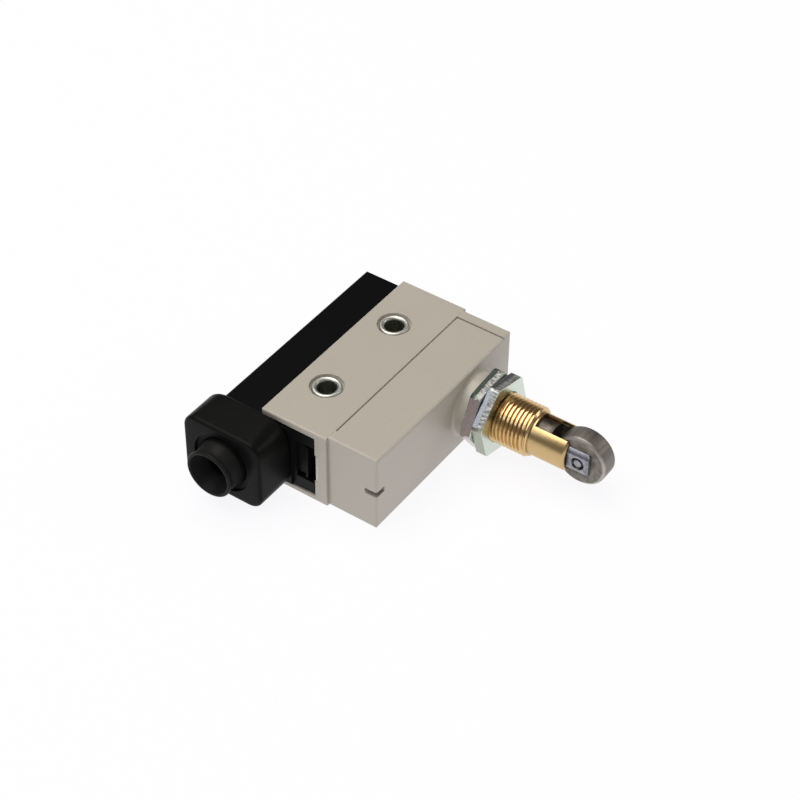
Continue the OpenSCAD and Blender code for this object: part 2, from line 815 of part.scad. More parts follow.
// Snap blade: two rails, a bowed tongue between them and a rolled eye at the pivot
module contact_blade() {
    window_lo = pivot_y + blade_root;
    window_hi = axis_y - blade_root;
    span = window_hi - window_lo - 2 * strip_thick;
    bow_r = (span * span / 4 + tongue_bow * tongue_bow) / (2 * tongue_bow);
    bow = [bow_r - tongue_bow, window_hi - span / 2];
    color("#C88A50") translate([blade_x, 0, mid_z]) {
        difference() {
            block([-blade_thick / 2, pivot_y, -blade_half],
                [blade_thick / 2, contact_y + contact_r + seat, blade_half]);
            block([-over, window_lo, -blade_half + blade_rail], [over, window_hi, blade_half - blade_rail]);
            translate([0, contact_y, 0]) rod_x(-over, over, stem_r + slip);
        }
        translate([0, pivot_y, -blade_half]) cylinder(h = 2 * blade_half, r = eye_r);
        translate([0, 0, -blade_half + blade_rail + clear])
            linear_extrude(2 * (blade_half - blade_rail - clear)) intersection() {
                difference() {
                    translate(bow) circle(bow_r + blade_thick / 4);
                    translate(bow) circle(bow_r - blade_thick / 4);
                }
                translate([-tongue_bow - over, window_hi - span])
                    square([tongue_bow + over + seat, span + seat]);
            }
    }
}

// Double rivet at the blade's free end
module moving_contact() {
    color("#D8D8D8") translate([blade_x, contact_y, mid_z]) {
        rod_x(-blade_thick / 2 - rivet_h, -blade_thick / 2, contact_r);
        rod_x(-blade_thick / 2 - rivet_h, blade_thick / 2 + rivet_h, stem_r);
        rod_x(blade_thick / 2, blade_thick / 2 + rivet_h, contact_r);
    }
}

// Tab behind the base, with a screw hole, and its leg through the base
module tab_and_leg(y, leg_lo, top_x) {
    difference() {
        block([base_rear_x - strip_thick, min(y - tab_w / 2, leg_lo), mid_z - tab_half],
            [base_rear_x, max(y + tab_w / 2, leg_lo + strip_thick), mid_z + tab_half]);
        translate([0, y, mid_z]) rod_x(base_rear_x - strip_thick - over, base_rear_x + over, screw_r + slip);
    }
    block([base_rear_x - strip_thick, leg_lo, mid_z - strip_half],
        [top_x, leg_lo + strip_thick, mid_z + strip_half]);
}

// Common terminal, with the seat for the blade's eye and the post for its tongue
module common_terminal() {
    socket = 2 * eye_r;
    post_y = pivot_y + blade_root + 2 * clear;
    post_half = blade_half - blade_rail - 3 * clear;
    color("#C9A060") difference() {
        union() {
            tab_and_leg(-screw_y, -leg_y - strip_thick, floor_x + strip_thick);
            block([floor_x, -leg_y - strip_thick, mid_z - strip_half],
                [floor_x + strip_thick, post_y + strip_thick, mid_z + strip_half]);
            block([floor_x, post_y, mid_z - post_half],
                [blade_x - blade_thick - 3 * clear, post_y + strip_thick, mid_z + post_half]);
            block([floor_x, pivot_y - socket, mid_z - strip_half],
                [blade_x, pivot_y + socket, mid_z + strip_half]);
        }
        translate([blade_x, pivot_y, 0]) cylinder(h = case_thick, r = eye_r + slip);
        block([blade_x - blade_thick, pivot_y, mid_z - strip_half - over],
            [blade_x + over, pivot_y + socket + over, mid_z + strip_half + over]);
    }
}

// Normally open terminal, with a strip along the well's floor
module open_terminal() {
    leg_lo = screw_leg_y() - strip_thick;
    color("#C9A060") {
        tab_and_leg(0, leg_lo, floor_x + strip_thick);
        block([floor_x, leg_lo, mid_z - strip_half],
            [floor_x + strip_thick, contact_y + contact_r, mid_z + strip_half]);
        translate([0, contact_y, mid_z]) rod_x(floor_x, open_top_x, contact_r);
    }
}

// Normally closed terminal, bent over the blade's free end
module closed_terminal() {
    color("#C9A060") {
        tab_and_leg(screw_y, leg_y, closed_x + rivet_h + strip_thick);
        block([closed_x + rivet_h, contact_y - contact_r, mid_z - strip_half],
            [closed_x + rivet_h + strip_thick, leg_y + strip_thick, mid_z + strip_half]);
        translate([0, contact_y, mid_z]) rod_x(closed_x, closed_x + rivet_h + strip_thick, contact_r);
    }
}

// Slotted screws that clamp the wires
module terminal_screws() {
    under_head_x = base_rear_x - strip_thick;
    top_x = under_head_x - screw_head_h;
    color("#C8CACC") for (y = [-screw_y, 0, screw_y]) translate([0, y, mid_z]) difference() {
        union() {
            rod_x(top_x, under_head_x, screw_head_r);
            rod_x(top_x + screw_head_h / 2, base_rear_x + screw_depth, screw_r);
        }
        block([top_x - over, -screw_slot / 2, -screw_head_r - over],
            [top_x + screw_head_h / 2, screw_slot / 2, screw_head_r + over]);
    }
}

case();
head();
head_packing();
terminal_cover();
cover_packing();
cable_gland();
mounting_eyelets();
bushing();
inner_nut();
outer_nut();
plunger();
plunger_seal();
roller();
roller_pin();
return_spring();
retaining_ring();
push_rod();
overtravel_spring();
switch_base();
switch_lid();
switch_button();
contact_blade();
moving_contact();
common_terminal();
open_terminal();
closed_terminal();
terminal_screws();
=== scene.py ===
# Looks of the plunger limit switch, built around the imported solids. MM turns millimetres into metres.
import json
import math

import bmesh
import bpy
from mathutils import Matrix, Vector


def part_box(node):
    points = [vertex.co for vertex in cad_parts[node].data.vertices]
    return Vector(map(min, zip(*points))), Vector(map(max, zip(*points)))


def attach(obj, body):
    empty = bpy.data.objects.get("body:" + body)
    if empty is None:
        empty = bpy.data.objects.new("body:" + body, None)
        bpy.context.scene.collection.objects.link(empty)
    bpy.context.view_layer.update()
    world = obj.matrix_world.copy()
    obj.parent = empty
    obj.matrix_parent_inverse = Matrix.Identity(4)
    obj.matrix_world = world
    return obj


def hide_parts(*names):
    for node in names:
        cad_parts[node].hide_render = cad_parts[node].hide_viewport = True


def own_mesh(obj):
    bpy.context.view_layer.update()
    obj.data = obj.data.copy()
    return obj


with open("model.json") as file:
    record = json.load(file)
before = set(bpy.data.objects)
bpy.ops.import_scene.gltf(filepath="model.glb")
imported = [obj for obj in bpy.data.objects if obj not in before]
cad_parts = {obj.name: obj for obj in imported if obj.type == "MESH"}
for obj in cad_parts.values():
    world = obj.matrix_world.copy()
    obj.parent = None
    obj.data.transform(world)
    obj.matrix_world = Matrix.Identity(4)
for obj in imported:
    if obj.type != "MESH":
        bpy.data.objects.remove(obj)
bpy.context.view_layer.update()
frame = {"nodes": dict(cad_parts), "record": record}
scene = bpy.context.scene
MM = 0.001

RECORD = frame["record"]
SLOT_OF = {part["node"]: part["material_slot"] for part in RECORD["subparts"]}
BODY_OF = {node: body for body, nodes in RECORD["behaviour"]["bodies"].items() for node in nodes}
MOUNT_AT = {mount["name"]: mount["pos_m"] for mount in RECORD["mounts"]}
JOINTS = {joint["name"]: joint for joint in RECORD["behaviour"]["joints"]}

# Places that finishes and pieces share, in millimetres
ROLLER_X, AXIS_Y, MID_Z = (part / MM for part in JOINTS["roller_spin"]["pos_m"])
THREAD_TO = 40.2
COLLAR_TIP_Y = -37.0


# Camera: fitted to the straight edges and the two holes of the case in the photograph

AZIMUTH, ELEVATION, ROLL = math.radians(34.596), math.radians(42.407), math.radians(0.682)
TARGET = Vector((8.127, 3.575, 8.0)) * MM
DISTANCE = 492.24 * MM
LENS_PX, PHOTO_PX, SENSOR = 2198, 800, 36

back = Vector((
    math.sin(AZIMUTH) * math.cos(ELEVATION), -math.cos(AZIMUTH) * math.cos(ELEVATION), math.sin(ELEVATION)))
level = Vector((math.cos(AZIMUTH), math.sin(AZIMUTH), 0))
upright = back.cross(level)
right = level * math.cos(ROLL) + upright * math.sin(ROLL)
up = upright * math.cos(ROLL) - level * math.sin(ROLL)

lens = bpy.data.cameras.new("photo_camera")
lens.sensor_width = SENSOR
lens.lens = LENS_PX * SENSOR / PHOTO_PX
lens.clip_start = 0.01
camera = bpy.data.objects.new("photo_camera", lens)
aimed = Matrix((right, up, back)).transposed().to_4x4()
camera.matrix_world = Matrix.Translation(TARGET + back * DISTANCE) @ aimed
scene.collection.objects.link(camera)
scene.camera = camera


# Materials

def linear(code):
    """Linear colour of an sRGB hex value."""
    parts = [int(code[i:i + 2], 16) / 255 for i in (1, 3, 5)]
    return [p / 12.92 if p <= 0.04045 else ((p + 0.055) / 1.055) ** 2.4 for p in parts] + [1]


def per_mm(size):
    """Scale of a texture whose features are that many millimetres across."""
    return 1 / (size * MM)


def new_finish(name):
    """An empty material with its Principled shader, and the Object coordinates that its patterns read."""
    finish = bpy.data.materials.new(name)
    finish.use_nodes = True
    finish.node_tree.nodes.clear()
    shader = add(finish, "BsdfPrincipled")
    add(finish, "OutputMaterial", {"Surface": shader.outputs[0]})
    return finish, shader, add(finish, "TexCoord").outputs["Object"]


def add(finish, kind, links=None, **settings):
    """Adds a node, gives it its settings, and links or sets its inputs."""
    made = finish.node_tree.nodes.new("ShaderNode" + kind)
    for name, value in settings.items():
        setattr(made, name, value)
    wire(finish, made, links or {})
    return made


def wire(finish, made, links):
    """Links the outputs among the values to the node's inputs, and sets the rest."""
    for name, value in links.items():
        if isinstance(value, bpy.types.NodeSocket):
            finish.node_tree.links.new(value, made.inputs[name])
        else:
            made.inputs[name].default_value = value


# Glass-filled polyester from a spark-eroded tool: an even warm grey with a fine dull grain and faint flow
# clouds, with painted shade under the roof of the pry notch and a pale painted highlight on the nick beside
# the latch
NOTCH_X, NOTCH_Y, NOTCH_HALF, NOTCH_FADE = 19.6, -23.0, 0.74, 0.1
NOTCH_SHADE_FROM, NOTCH_SHADE_TO = 9.35, 10.1
NICK_MIDDLE, NICK_HALF = (7.35, -26.45, MID_Z), (0.5, 0.23, 3.65)
case_plastic, shader, place = new_finish("glass_filled_polyester_beige")
clouds = add(case_plastic, "TexNoise", {"Vector": place, "Scale": per_mm(14), "Detail": 3})
grain = add(case_plastic, "TexNoise", {"Vector": place, "Scale": per_mm(0.35), "Detail": 4, "Roughness": 0.6})
specks = add(case_plastic, "TexVoronoi", {"Vector": place, "Scale": per_mm(1.6)})
speck = add(case_plastic, "MapRange", {"Value": specks.outputs["Distance"], 1: 0.03, 2: 0.1, 3: 0.35, 4: 0.0})
cloudy = add(case_plastic, "Mix", {
    0: clouds.outputs[0], 6: linear("#B4ADA0"), 7: linear("#BDB6AA")}, data_type="RGBA")
grainy = add(case_plastic, "Mix", {
    0: grain.outputs[0], 6: cloudy.outputs[2], 7: linear("#C6C0B5")}, data_type="RGBA")
specked = add(case_plastic, "Mix", {
    0: speck.outputs[0], 6: grainy.outputs[2], 7: linear("#8F877A")}, data_type="RGBA")
spot = add(case_plastic, "SeparateXYZ", {"Vector": place})
# Painted shade: darker under the roof of the pry notch
near_front = add(case_plastic, "MapRange", {
    "Value": spot.outputs[0], 1: (NOTCH_X - NOTCH_FADE) * MM, 2: (NOTCH_X + NOTCH_FADE) * MM})
near_end = add(case_plastic, "MapRange", {
    "Value": spot.outputs[1], 1: (NOTCH_Y - NOTCH_FADE) * MM, 2: (NOTCH_Y + NOTCH_FADE) * MM, 3: 1.0, 4: 0.0})
under_roof = add(case_plastic, "MapRange", {
    "Value": spot.outputs[2], 1: NOTCH_SHADE_FROM * MM, 2: NOTCH_SHADE_TO * MM, 3: 0.15, 4: 0.85})
in_height = add(case_plastic, "Math", {
    0: spot.outputs[2], 1: MID_Z * MM, 2: NOTCH_HALF * MM}, operation="COMPARE")
corner = add(case_plastic, "Math", {0: near_front.outputs[0], 1: near_end.outputs[0]}, operation="MULTIPLY")
depth = add(case_plastic, "Math", {0: under_roof.outputs[0], 1: in_height.outputs[0]}, operation="MULTIPLY")
in_notch = add(case_plastic, "Math", {0: corner.outputs[0], 1: depth.outputs[0]}, operation="MULTIPLY")
notch_shaded = add(case_plastic, "Mix", {
    0: in_notch.outputs[0], 6: specked.outputs[2], 7: linear("#38342E")}, data_type="RGBA")
# Painted highlight: the nick beside the latch is painted pale
in_nick = 1
for value, middle, half in zip(spot.outputs, NICK_MIDDLE, NICK_HALF):
    inside = add(case_plastic, "Math", {0: value, 1: middle * MM, 2: half * MM}, operation="COMPARE")
    both = add(case_plastic, "Math", {0: in_nick, 1: inside.outputs[0]}, operation="MULTIPLY")
    in_nick = both.outputs[0]
nick_highlighted = add(case_plastic, "Mix", {
    0: in_nick, 6: notch_shaded.outputs[2], 7: linear("#E4DFD6")}, data_type="RGBA")
rough = add(case_plastic, "MapRange", {"Value": grain.outputs[0], 3: 0.28, 4: 0.42})
dents = add(case_plastic, "Bump", {"Height": grain.outputs[0], "Strength": 0.16, "Distance": 0.03 * MM})
wire(case_plastic, shader, {
    "Base Color": nick_highlighted.outputs[2], "Roughness": rough.outputs[0], "Normal": dents.outputs[0], "IOR": 1.55})

# Black polyester of the cover: the same moulding grain, a little smoother, so it mirrors the light softly,
# and painted greyer on the latch inside the case, as painted light in the case's shade
CASE_REAR_X, LATCH_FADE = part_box("case")[0].x / MM, 0.5
black_plastic, shader, place = new_finish("polyester_black_moulded")
clouds = add(black_plastic, "TexNoise", {"Vector": place, "Scale": per_mm(9), "Detail": 3})
grain = add(black_plastic, "TexNoise", {"Vector": place, "Scale": per_mm(0.3), "Detail": 4, "Roughness": 0.6})
shell = add(black_plastic, "Mix", {
    0: clouds.outputs[0], 6: linear("#040405"), 7: linear("#070708")}, data_type="RGBA")
# Painted light: a greyer black for the latch inside the case
latch_painted_light = add(black_plastic, "Mix", {
    0: clouds.outputs[0], 6: linear("#0F0F10"), 7: linear("#161617")}, data_type="RGBA")
spot = add(black_plastic, "SeparateXYZ", {"Vector": place})
in_case = add(black_plastic, "MapRange", {
    "Value": spot.outputs[0], 1: CASE_REAR_X * MM, 2: (CASE_REAR_X + LATCH_FADE) * MM})
tone = add(black_plastic, "Mix", {
    0: in_case.outputs[0], 6: shell.outputs[2], 7: latch_painted_light.outputs[2]}, data_type="RGBA")
rough = add(black_plastic, "MapRange", {"Value": grain.outputs[0], 3: 0.3, 4: 0.42})
dents = add(black_plastic, "Bump", {"Height": grain.outputs[0], "Strength": 0.3, "Distance": 0.03 * MM})
wire(black_plastic, shader, {
    "Base Color": tone.outputs[2], "Roughness": rough.outputs[0], "Normal": dents.outputs[0], "IOR": 1.5,
    "Specular IOR Level": 0.1})

# Nitrile rubber, pressed in a blasted tool: deep dull black with soft dimples and a greyish bloom, and the
# nipple painted greyer, as a painted sheen
SHEEN_FROM, SHEEN_TO = COLLAR_TIP_Y - 0.1, COLLAR_TIP_Y - 0.6
gland_rubber, shader, place = new_finish("nitrile_rubber_pressed")
bloom = add(gland_rubber, "TexNoise", {"Vector": place, "Scale": per_mm(4), "Detail": 4, "Roughness": 0.6})
grain = add(gland_rubber, "TexNoise", {"Vector": place, "Scale": per_mm(0.4), "Detail": 3})
collar = add(gland_rubber, "Mix", {
    0: bloom.outputs[0], 6: linear("#0F0F0F"), 7: linear("#171717")}, data_type="RGBA")
# Painted sheen: the nipple and its funnel are painted greyer than the collar
nipple_painted_sheen = add(gland_rubber, "Mix", {
    0: bloom.outputs[0], 6: linear("#1F1F1F"), 7: linear("#292929")}, data_type="RGBA")
spot = add(gland_rubber, "SeparateXYZ", {"Vector": place})
past_collar = add(gland_rubber, "MapRange", {
    "Value": spot.outputs[1], 1: SHEEN_TO * MM, 2: SHEEN_FROM * MM, 3: 1.0, 4: 0.0})
tone = add(gland_rubber, "Mix", {
    0: past_collar.outputs[0], 6: collar.outputs[2], 7: nipple_painted_sheen.outputs[2]}, data_type="RGBA")
rough = add(gland_rubber, "MapRange", {"Value": bloom.outputs[0], 3: 0.28, 4: 0.4})
dents = add(gland_rubber, "Bump", {"Height": grain.outputs[0], "Strength": 0.35, "Distance": 0.04 * MM})
wire(gland_rubber, shader, {
    "Base Color": tone.outputs[2], "Roughness": rough.outputs[0], "Normal": dents.outputs[0], "IOR": 1.52,
    "Specular IOR Level": 0.06})

# Sealing rubber of the rings: the same black, softer and freshly cut
seal_rubber, shader, place = new_finish("nitrile_rubber_seal")
grain = add(seal_rubber, "TexNoise", {"Vector": place, "Scale": per_mm(0.5), "Detail": 3})
tone = add(seal_rubber, "Mix", {
    0: grain.outputs[0], 6: linear("#1A1A1B"), 7: linear("#262627")}, data_type="RGBA")
dents = add(seal_rubber, "Bump", {"Height": grain.outputs[0], "Strength": 0.3, "Distance": 0.03 * MM})
wire(seal_rubber, shader, {
    "Base Color": tone.outputs[2], "Roughness": 0.62, "Normal": dents.outputs[0], "IOR": 1.52})

# Nickel-plated steel, rolled over a punch: bright rims with drawn streaks, and the tube painted a duller
# grey, as painted shade inside the hole
ROLLED_FROM, ROLLED_TO = 9.3, 9.65
eyelet_steel, shader, place = new_finish("nickel_plated_steel_drawn")
stretch = add(eyelet_steel, "Mapping", {"Vector": place, "Scale": (1, 1, 0.05)})
streaks = add(eyelet_steel, "TexNoise", {"Vector": stretch.outputs[0], "Scale": per_mm(0.3), "Detail": 3})
bright = add(eyelet_steel, "Mix", {
    0: streaks.outputs[0], 6: linear("#C9C9C3"), 7: linear("#E4E4DE")}, data_type="RGBA")
height = add(eyelet_steel, "SeparateXYZ", {"Vector": place})
from_middle = add(eyelet_steel, "Math", {0: height.outputs[2], 1: MID_Z * MM}, operation="SUBTRACT")
to_end = add(eyelet_steel, "Math", {0: from_middle.outputs[0]}, operation="ABSOLUTE")
# Painted shade: the tube between the rolled ends is darker
rolled = add(eyelet_steel, "MapRange", {
    "Value": to_end.outputs[0], 1: ROLLED_FROM * MM, 2: ROLLED_TO * MM})
tone = add(eyelet_steel, "Mix", {
    0: rolled.outputs[0], 6: linear("#A4A69C"), 7: bright.outputs[2]}, data_type="RGBA")
rough = add(eyelet_steel, "MapRange", {"Value": streaks.outputs[0], 3: 0.36, 4: 0.48})
wire(eyelet_steel, shader, {
    "Base Color": tone.outputs[2], "Metallic": 1, "Roughness": rough.outputs[0]})

# Free-cutting brass, turned on a lathe: rings that follow the tool, drawn coarser than the real 0.05 mm so
# they show; the sleeve is rougher than the thread and painted a deeper tone, as painted shade
SLEEVE_FADE = 0.05
bushing_brass, shader, place = new_finish("free_cutting_brass_turned")
along = add(bushing_brass, "Mapping", {"Vector": place, "Scale": (1, 0, 0)})
rings = add(bushing_brass, "TexNoise", {"Vector": along.outputs[0], "Scale": per_mm(0.22), "Detail": 4})
stain = add(bushing_brass, "TexNoise", {"Vector": place, "Scale": per_mm(2.5), "Detail": 3})
cut = add(bushing_brass, "Mix", {
    0: stain.outputs[0], 6: linear("#CDAE7C"), 7: linear("#DFC497")}, data_type="RGBA")
# Painted shade: the sleeve is a deeper tone than the thread
sleeve_painted_shade = add(bushing_brass, "Mix", {
    0: stain.outputs[0], 6: linear("#C2A573"), 7: linear("#D2B787")}, data_type="RGBA")
spot = add(bushing_brass, "SeparateXYZ", {"Vector": place})
on_sleeve = add(bushing_brass, "MapRange", {
    "Value": spot.outputs[0], 1: (THREAD_TO - SLEEVE_FADE) * MM, 2: (THREAD_TO + SLEEVE_FADE) * MM})
tone = add(bushing_brass, "Mix", {
    0: on_sleeve.outputs[0], 6: cut.outputs[2], 7: sleeve_painted_shade.outputs[2]}, data_type="RGBA")
bright = add(bushing_brass, "MapRange", {"Value": rings.outputs[0], 3: 0.18, 4: 0.26})
rough = add(bushing_brass, "Math", {
    0: on_sleeve.outputs[0], 1: 0.1, 2: bright.outputs[0]}, operation="MULTIPLY_ADD")
lines = add(bushing_brass, "Bump", {"Height": rings.outputs[0], "Strength": 0.012, "Distance": 0.02 * MM})
wire(bushing_brass, shader, {
    "Base Color": tone.outputs[2], "Metallic": 1, "Roughness": rough.outputs[0], "Normal": lines.outputs[0]})

# Steel punched to a hexagon and zinc plated: the upward flats have a smooth band and a torn band, and the
# zinc is tinted a little green and pink, not the same on both nuts; flats and front faces are painted lighter
# or darker by the way they face, as painted light and shade
INNER_NUT, OUTER_NUT = ([end.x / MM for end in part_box(node)] for node in ("inner_nut", "outer_nut"))
NUTS_MEET, NUTS_FADE = (INNER_NUT[1] + OUTER_NUT[0]) / 2, 0.02
SMOOTH_BAND, RAGGED_BY = 0.9, 0.6
nut_steel, shader, place = new_finish("zinc_plated_steel_punched")
parts = add(nut_steel, "SeparateXYZ", {"Vector": place})
from_face = add(nut_steel, "Math", {0: parts.outputs[0], 1: INNER_NUT[0] * MM}, operation="SUBTRACT")
in_nut = add(nut_steel, "Math", {
    0: from_face.outputs[0], 1: (OUTER_NUT[0] - INNER_NUT[0]) * MM}, operation="MODULO")
ragged = add(nut_steel, "TexNoise", {"Vector": place, "Scale": per_mm(1.5), "Detail": 3})
edge = add(nut_steel, "Math", {
    0: ragged.outputs[0], 1: RAGGED_BY * MM, 2: SMOOTH_BAND * MM}, operation="MULTIPLY_ADD")
past = add(nut_steel, "Math", {0: in_nut.outputs[0], 1: edge.outputs[0]}, operation="SUBTRACT")
torn = add(nut_steel, "MapRange", {"Value": past.outputs[0], 1: -0.1 * MM, 2: 0.15 * MM})
facing = add(nut_steel, "SeparateXYZ", {"Vector": add(nut_steel, "NewGeometry").outputs["Normal"]})
sideways = add(nut_steel, "Math", {0: facing.outputs[0]}, operation="ABSOLUTE")
on_flat = add(nut_steel, "MapRange", {"Value": sideways.outputs[0], 1: 0.3, 2: 0.6, 3: 1.0, 4: 0.0})
facing_up = add(nut_steel, "MapRange", {"Value": facing.outputs[2], 1: 0.45, 2: 0.6})
on_up_flat = add(nut_steel, "Math", {0: on_flat.outputs[0], 1: facing_up.outputs[0]}, operation="MULTIPLY")
torn_here = add(nut_steel, "Math", {0: torn.outputs[0], 1: on_up_flat.outputs[0]}, operation="MULTIPLY")
stretch = add(nut_steel, "Mapping", {"Vector": place, "Scale": (0.3, 1, 1)})
frost = add(nut_steel, "TexNoise", {
    "Vector": stretch.outputs[0], "Scale": per_mm(0.35), "Detail": 5, "Roughness": 0.7})
which = add(nut_steel, "MapRange", {
    "Value": parts.outputs[0], 1: (NUTS_MEET - NUTS_FADE) * MM, 2: (NUTS_MEET + NUTS_FADE) * MM})
# Painted light and shade: the low flats, the upward flats and the front faces each get their own tone
low_flats_painted = add(nut_steel, "Mix", {
    0: which.outputs[0], 6: linear("#CBBFC3"), 7: linear("#A4AA9C")}, data_type="RGBA")
up_flats_painted = add(nut_steel, "Mix", {
    0: which.outputs[0], 6: linear("#59635C"), 7: linear("#A2A3A5")}, data_type="RGBA")
flats_painted_by_facing = add(nut_steel, "Mix", {
    0: facing_up.outputs[0], 6: low_flats_painted.outputs[2], 7: up_flats_painted.outputs[2]}, data_type="RGBA")
zinc_painted_by_facing = add(nut_steel, "Mix", {
    0: on_flat.outputs[0], 6: linear("#D0DAD0"), 7: flats_painted_by_facing.outputs[2]}, data_type="RGBA")
ridged = add(nut_steel, "MapRange", {"Value": frost.outputs[0], 1: 0.4, 2: 0.6})
ripped = add(nut_steel, "Mix", {
    0: ridged.outputs[0], 6: linear("#6E706C"), 7: linear("#DCDEDA")}, data_type="RGBA")
tone = add(nut_steel, "Mix", {
    0: torn_here.outputs[0], 6: zinc_painted_by_facing.outputs[2], 7: ripped.outputs[2]}, data_type="RGBA")
smooth = add(nut_steel, "MapRange", {"Value": frost.outputs[0], 3: 0.2, 4: 0.36})
rough = add(nut_steel, "Mix", {0: torn_here.outputs[0], 2: smooth.outputs[0], 3: 0.55})
depth = add(nut_steel, "Math", {0: torn_here.outputs[0], 1: 0.8, 2: 0.15}, operation="MULTIPLY_ADD")
height = add(nut_steel, "Math", {0: frost.outputs[0], 1: depth.outputs[0]}, operation="MULTIPLY")
dents = add(nut_steel, "Bump", {"Height": height.outputs[0], "Strength": 0.6, "Distance": 0.06 * MM})
wire(nut_steel, shader, {
    "Base Color": tone.outputs[2], "Metallic": 1, "Roughness": rough.outputs[0], "Normal": dents.outputs[0]})

# Hardened steel, ground: blotchy grey with short scratches along the plunger, and painted shade inside the
# bushing and in the ring around the pin
AROUND_PIN = {"Location": (-ROLLER_X * MM, 0, -MID_Z * MM), "Scale": (1, 0, 1)}
BUSHING_SHADE_FROM, BUSHING_SHADE_TO = 48.5, 46.5
NUB_R, NUB_FADE, RING_SHADE_R, RING_SHADE_FADE = 1.0, 0.05, 1.6, 0.1
plunger_steel, shader, place = new_finish("hardened_steel_ground")
stretch = add(plunger_steel, "Mapping", {"Vector": place, "Scale": (0.08, 1, 1)})
scratches = add(plunger_steel, "TexNoise", {"Vector": stretch.outputs[0], "Scale": per_mm(0.2), "Detail": 4})
stain = add(plunger_steel, "TexNoise", {"Vector": place, "Scale": per_mm(1.2), "Detail": 4, "Roughness": 0.6})
blotch = add(plunger_steel, "MapRange", {"Value": stain.outputs[0], 1: 0.35, 2: 0.65})
dry = add(plunger_steel, "Mix", {
    0: blotch.outputs[0], 6: linear("#7E7E85"), 7: linear("#AAAAAF")}, data_type="RGBA")
# Painted shade: darker where the plunger is inside the bushing
shaded_in_bushing = add(plunger_steel, "Mix", {
    0: blotch.outputs[0], 6: linear("#4A443E"), 7: linear("#7D756C")}, data_type="RGBA")
spot = add(plunger_steel, "SeparateXYZ", {"Vector": place})
outside = add(plunger_steel, "MapRange", {
    "Value": spot.outputs[0], 1: BUSHING_SHADE_TO * MM, 2: BUSHING_SHADE_FROM * MM})
ground = add(plunger_steel, "Mix", {
    0: outside.outputs[0], 6: shaded_in_bushing.outputs[2], 7: dry.outputs[2]}, data_type="RGBA")
from_pin = add(plunger_steel, "Mapping", {"Vector": place, **AROUND_PIN})
reach = add(plunger_steel, "VectorMath", {0: from_pin.outputs[0]}, operation="LENGTH")
# Painted shade: the ring around the pin is painted dark
past_nub = add(plunger_steel, "MapRange", {
    "Value": reach.outputs["Value"], 1: (NUB_R - NUB_FADE) * MM, 2: (NUB_R + NUB_FADE) * MM})
to_rim = add(plunger_steel, "MapRange", {
    "Value": reach.outputs["Value"], 1: (RING_SHADE_R - RING_SHADE_FADE) * MM, 2: (RING_SHADE_R + RING_SHADE_FADE) * MM, 3: 0.8, 4: 0.0})
pin_ring_shade = add(plunger_steel, "Math", {0: past_nub.outputs[0], 1: to_rim.outputs[0]}, operation="MULTIPLY")
tone = add(plunger_steel, "Mix", {
    0: pin_ring_shade.outputs[0], 6: ground.outputs[2], 7: linear("#2C2C2C")}, data_type="RGBA")
satin = add(plunger_steel, "MapRange", {"Value": scratches.outputs[0], 3: 0.38, 4: 0.58})
rough = add(plunger_steel, "Math", {
    0: outside.outputs[0], 1: -0.12, 2: satin.outputs[0]}, operation="MULTIPLY_ADD")
lines = add(plunger_steel, "Bump", {"Height": scratches.outputs[0], "Strength": 0.25, "Distance": 0.02 * MM})
wire(plunger_steel, shader, {
    "Base Color": tone.outputs[2], "Metallic": 1, "Roughness": rough.outputs[0], "Normal": lines.outputs[0]})

# Bearing steel, turned and oiled: warm grey with rings around the roller's axis and oil wiped across its
# tread, and a painted highlight along its chamfers
CHAMFER_HIGHLIGHT_IN, CHAMFER_HIGHLIGHT_OUT = (5.6, 5.85), (6.2, 6.35)
roller_steel, shader, place = new_finish("bearing_steel_turned_oiled")
from_pin = add(roller_steel, "Mapping", {"Vector": place, **AROUND_PIN})
reach = add(roller_steel, "VectorMath", {0: from_pin.outputs[0]}, operation="LENGTH")
width = add(roller_steel, "SeparateXYZ", {"Vector": place})
track = add(roller_steel, "CombineXYZ", {"X": reach.outputs["Value"], "Y": width.outputs[1]})
rings = add(roller_steel, "TexNoise", {"Vector": track.outputs[0], "Scale": per_mm(0.25), "Detail": 4})
across = add(roller_steel, "Mapping", {"Vector": place, "Scale": (1, 0.1, 1)})
oil = add(roller_steel, "TexNoise", {
    "Vector": across.outputs[0], "Scale": per_mm(2), "Detail": 4, "Roughness": 0.6})
film = add(roller_steel, "MapRange", {"Value": oil.outputs[0], 1: 0.3, 2: 0.7})
oily = add(roller_steel, "Mix", {
    0: film.outputs[0], 6: linear("#5C5752"), 7: linear("#979189")}, data_type="RGBA")
# Painted highlight: a pale ring along the chamfers
onto_rim = add(roller_steel, "MapRange", {
    "Value": reach.outputs["Value"], 1: CHAMFER_HIGHLIGHT_IN[0] * MM, 2: CHAMFER_HIGHLIGHT_IN[1] * MM})
off_rim = add(roller_steel, "MapRange", {
    "Value": reach.outputs["Value"], 1: CHAMFER_HIGHLIGHT_OUT[0] * MM, 2: CHAMFER_HIGHLIGHT_OUT[1] * MM, 3: 0.7, 4: 0.1})
chamfer_highlight = add(roller_steel, "Math", {0: onto_rim.outputs[0], 1: off_rim.outputs[0]}, operation="MULTIPLY")
tone = add(roller_steel, "Mix", {
    0: chamfer_highlight.outputs[0], 6: oily.outputs[2], 7: linear("#C9C4BC")}, data_type="RGBA")
rough = add(roller_steel, "MapRange", {"Value": rings.outputs[0], 3: 0.4, 4: 0.6})
lines = add(roller_steel, "Bump", {"Height": rings.outputs[0], "Strength": 0.25, "Distance": 0.02 * MM})
wire(roller_steel, shader, {
    "Base Color": tone.outputs[2], "Metallic": 1, "Roughness": rough.outputs[0], "Normal": lines.outputs[0]})

